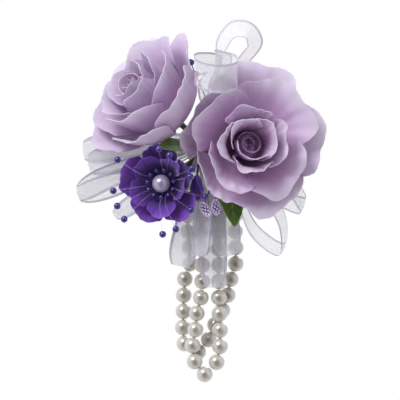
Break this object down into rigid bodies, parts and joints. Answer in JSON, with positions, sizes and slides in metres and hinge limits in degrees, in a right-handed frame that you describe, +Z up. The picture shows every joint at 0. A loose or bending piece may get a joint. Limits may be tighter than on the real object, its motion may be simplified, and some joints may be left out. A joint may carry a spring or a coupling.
{
  "type": "wrist corsage",
  "caption": "Wrist corsage of lilac fabric roses, a purple beaded flower, leaves and sheer ribbon loops on a pearl bracelet.",
  "frame": {"origin": "centre of the wrist pad's back face, which lies on the wrist", "axes": "+Y out of the pad's back towards the wrist, -Y the way the flowers face, +Z up the corsage, away from the hanging bracelet"},
  "size_m": [0.1231, 0.0653, 0.1827],
  "materials": {
    "lilac_fabric": "matte heat-formed polyester",
    "purple_fabric": "matte taffeta",
    "leaf_fabric": "waxed fabric",
    "sheer_ribbon": "sheer organza with satin edges",
    "ivory_pearl": "pearl lacquer",
    "lilac_pearl": "pearl lacquer",
    "violet_bead": "glossy beads on clear filament",
    "berry_bead": "glossy seed beads",
    "elastic_cord": "waxed elastic thread",
    "stem_tape": "stretched crepe floral tape",
    "clear_plate": "frosted",
    "felt": "soft felt"
  },
  "bodies": {
    "corsage": {"wrist_pad": "felt", "bracelet_plate": "clear_plate", "stem_bundle": "stem_tape", "ribbon_tie": "sheer_ribbon", "front_left_cord_end": "elastic_cord", "front_right_cord_end": "elastic_cord", "back_left_cord_end": "elastic_cord", "back_right_cord_end": "elastic_cord", "left_rose_calyx": "stem_tape", "left_rose_bud": "lilac_fabric", "left_rose_outer_petals": "lilac_fabric", "left_rose_middle_petals": "lilac_fabric", "left_rose_inner_petals": "lilac_fabric", "left_rose_wrap_petals": "lilac_fabric", "right_rose_calyx": "stem_tape", "right_rose_bud": "lilac_fabric", "right_rose_outer_petals": "lilac_fabric", "right_rose_middle_petals": "lilac_fabric", "right_rose_inner_petals": "lilac_fabric", "right_rose_wrap_petals": "lilac_fabric", "purple_flower_receptacle": "stem_tape", "purple_flower_back_petals": "purple_fabric", "purple_flower_front_petals": "purple_fabric", "purple_flower_centre_pearl": "lilac_pearl", "stamen_spray": "violet_bead", "back_bead_spray": "violet_bead", "upper_leaf": "leaf_fabric", "lower_leaf": "leaf_fabric", "front_berry_bud": "berry_bead", "back_berry_bud": "berry_bead", "folded_bud": "purple_fabric", "ribbon_top_loop": "sheer_ribbon", "ribbon_front_loop": "sheer_ribbon", "ribbon_left_upper_loop": "sheer_ribbon", "ribbon_left_middle_loop": "sheer_ribbon", "ribbon_left_lower_loop": "sheer_ribbon", "ribbon_under_flower_loop": "sheer_ribbon", "ribbon_bottom_left_loop": "sheer_ribbon", "ribbon_bottom_middle_loop": "sheer_ribbon", "ribbon_bottom_right_loop": "sheer_ribbon", "ribbon_long_loop": "sheer_ribbon", "ribbon_right_low_loop": "sheer_ribbon", "ribbon_right_back_loop": "sheer_ribbon"},
    "front_hanger": {"front_left_top_pearl": "ivory_pearl", "front_right_top_pearl": "ivory_pearl"},
    "front_upper_left": {"front_upper_left_pearls": "ivory_pearl"},
    "front_upper_right": {"front_upper_right_pearls": "ivory_pearl"},
    "front_lower_left": {"front_lower_left_pearls": "ivory_pearl"},
    "front_lower_right": {"front_lower_right_pearls": "ivory_pearl"},
    "back_hanger": {"back_left_top_pearl": "ivory_pearl", "back_right_top_pearl": "ivory_pearl"},
    "back_upper_left": {"back_upper_left_pearls": "ivory_pearl"},
    "back_upper_right": {"back_upper_right_pearls": "ivory_pearl"},
    "back_lower_left": {"back_lower_left_pearls": "ivory_pearl"},
    "back_lower_right": {"back_lower_right_pearls": "ivory_pearl"}
  },
  "joints": [
    {"name": "front_swing", "type": "hinge", "parent": "corsage", "child": "front_hanger", "pos_m": [0, -0.0157, -0.025], "axis": [1, 0, 0], "range_deg": [0, 90]},
    {"name": "front_spread_left", "type": "hinge", "parent": "front_hanger", "child": "front_upper_left", "pos_m": [-0.006, -0.0157, -0.025], "axis": [0, 1, 0], "range_deg": [0, 40], "stiffness_Nm_per_rad": 0.001, "springref_deg": -14.32},
    {"name": "front_fold_left", "type": "hinge", "parent": "front_upper_left", "child": "front_lower_left", "pos_m": [-0.00586, -0.0157, -0.066], "axis": [0, -1, 0], "range_deg": [0, 76]},
    {"name": "front_spread_right", "type": "hinge", "parent": "front_hanger", "child": "front_upper_right", "pos_m": [0.0025, -0.0157, -0.025], "axis": [0, -1, 0], "range_deg": [0, 40]},
    {"name": "front_fold_right", "type": "hinge", "parent": "front_upper_right", "child": "front_lower_right", "pos_m": [0.0025, -0.0157, -0.066], "axis": [0, 1, 0], "range_deg": [0, 80]},
    {"name": "back_swing", "type": "hinge", "parent": "corsage", "child": "back_hanger", "pos_m": [0, -0.007, -0.0163], "axis": [1, 0, 0], "range_deg": [0, 90]},
    {"name": "back_spread_left", "type": "hinge", "parent": "back_hanger", "child": "back_upper_left", "pos_m": [-0.014, -0.007, -0.0163], "axis": [0, 1, 0], "range_deg": [0, 30], "stiffness_Nm_per_rad": 0.001, "springref_deg": -14.32},
    {"name": "back_fold_left", "type": "hinge", "parent": "back_upper_left", "child": "back_lower_left", "pos_m": [-0.012, -0.007, -0.05724], "axis": [0, -1, 0], "range_deg": [0, 67.5]},
    {"name": "back_spread_right", "type": "hinge", "parent": "back_hanger", "child": "back_upper_right", "pos_m": [0.0105, -0.007, -0.0163], "axis": [0, -1, 0], "range_deg": [0, 30]},
    {"name": "back_fold_right", "type": "hinge", "parent": "back_upper_right", "child": "back_lower_right", "pos_m": [0.01107, -0.007, -0.05729], "axis": [0, 1, 0], "range_deg": [0, 60]}
  ],
  "couplings": [
    {"joint": "back_swing", "follows": "front_swing", "ratio": 1},
    {"joint": "front_spread_right", "follows": "front_spread_left", "ratio": 1},
    {"joint": "front_fold_left", "follows": "front_spread_left", "ratio": 1.9},
    {"joint": "front_fold_right", "follows": "front_spread_left", "ratio": 2},
    {"joint": "back_spread_right", "follows": "back_spread_left", "ratio": 1},
    {"joint": "back_fold_left", "follows": "back_spread_left", "ratio": 2.25},
    {"joint": "back_fold_right", "follows": "back_spread_left", "ratio": 2}
  ]
}
